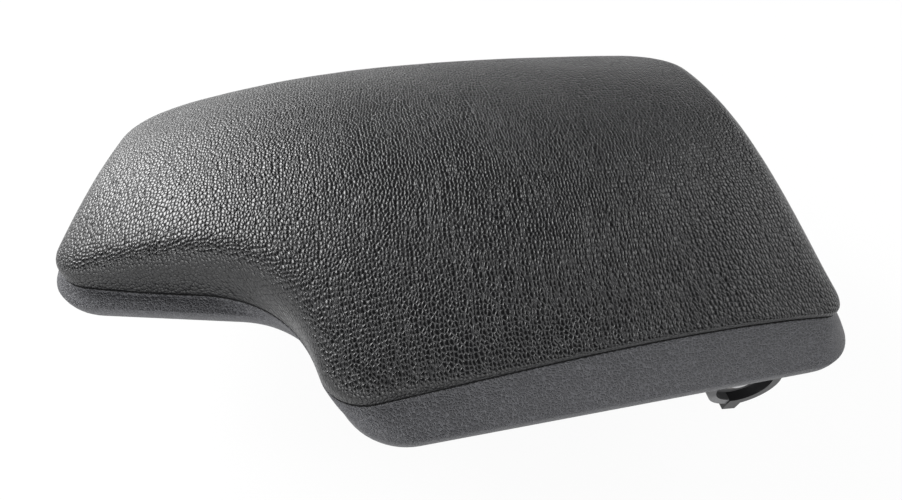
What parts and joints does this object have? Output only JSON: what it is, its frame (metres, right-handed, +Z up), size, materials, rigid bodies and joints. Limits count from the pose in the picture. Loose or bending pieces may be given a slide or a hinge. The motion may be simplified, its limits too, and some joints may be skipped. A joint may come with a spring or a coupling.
{
  "type": "car centre armrest lid",
  "caption": "Padded leather console armrest lid with a side notch, hinged at the rear on a bolted bracket and latched at the front by a push button.",
  "frame": {"origin": "centre of the bracket's four bolt holes, on the face that rests on the console", "axes": "+X to the rear along the lid's length, +Y to the straight far side, +Z up; the notch is on the -Y side at the front"},
  "size_m": [0.338, 0.2156, 0.1236],
  "materials": {
    "top_leather": "pebble grain, semi-matt",
    "band_leather": "fine grain, matt",
    "foam": "moulded foam",
    "carrier_plastic": "moulded, glass filled",
    "liner_plastic": "fine spark grain",
    "black_plastic": "moulded",
    "hinge_alloy": "die cast, grey coat",
    "bracket_steel": "black dip coat",
    "bright_steel": "turned, zinc",
    "screw_steel": "zinc",
    "spring_steel": "oiled",
    "bronze": "sintered",
    "friction_lining": "pressed lining",
    "black_rubber": "matt"
  },
  "bodies": {
    "bracket": {"hinge_bracket": "bracket_steel", "bracket_bushes": "bronze", "stop_pad": "black_rubber"},
    "lid": {"leather_top": "top_leather", "leather_band": "band_leather", "foam_pad": "foam", "carrier": "carrier_plastic", "liner": "liner_plastic", "liner_screws": "screw_steel", "buffers": "black_rubber", "hinge_frame": "hinge_alloy", "hinge_screws": "screw_steel", "hinge_pin": "bright_steel", "pin_clip": "spring_steel", "barrel_guard": "black_plastic", "friction_discs": "friction_lining", "spring_washers": "spring_steel", "latch_housing": "black_plastic", "latch_screws": "screw_steel", "latch_pin": "bright_steel", "button_spring": "spring_steel"},
    "button": {"release_button": "liner_plastic"},
    "hook": {"latch_hook": "bright_steel"}
  },
  "joints": [
    {"name": "lid_hinge", "type": "hinge", "parent": "bracket", "child": "lid", "pos_m": [0.011, 0, 0.044], "axis": [0, 1, 0], "range_deg": [0, 75]},
    {"name": "button_slide", "type": "slide", "parent": "lid", "child": "button", "axis": [0, 0, 1], "range_m": [0, 0.004], "stiffness_N_per_m": 400, "springref_m": -0.004, "deforming": ["button_spring"]},
    {"name": "hook_pivot", "type": "hinge", "parent": "lid", "child": "hook", "pos_m": [-0.2145, 0.0385, 0.0724], "axis": [0, 1, 0], "range_deg": [0, 20]}
  ],
  "couplings": [
    {"joint": "hook_pivot", "follows": "button_slide", "rad_per_m": 87}
  ]
}
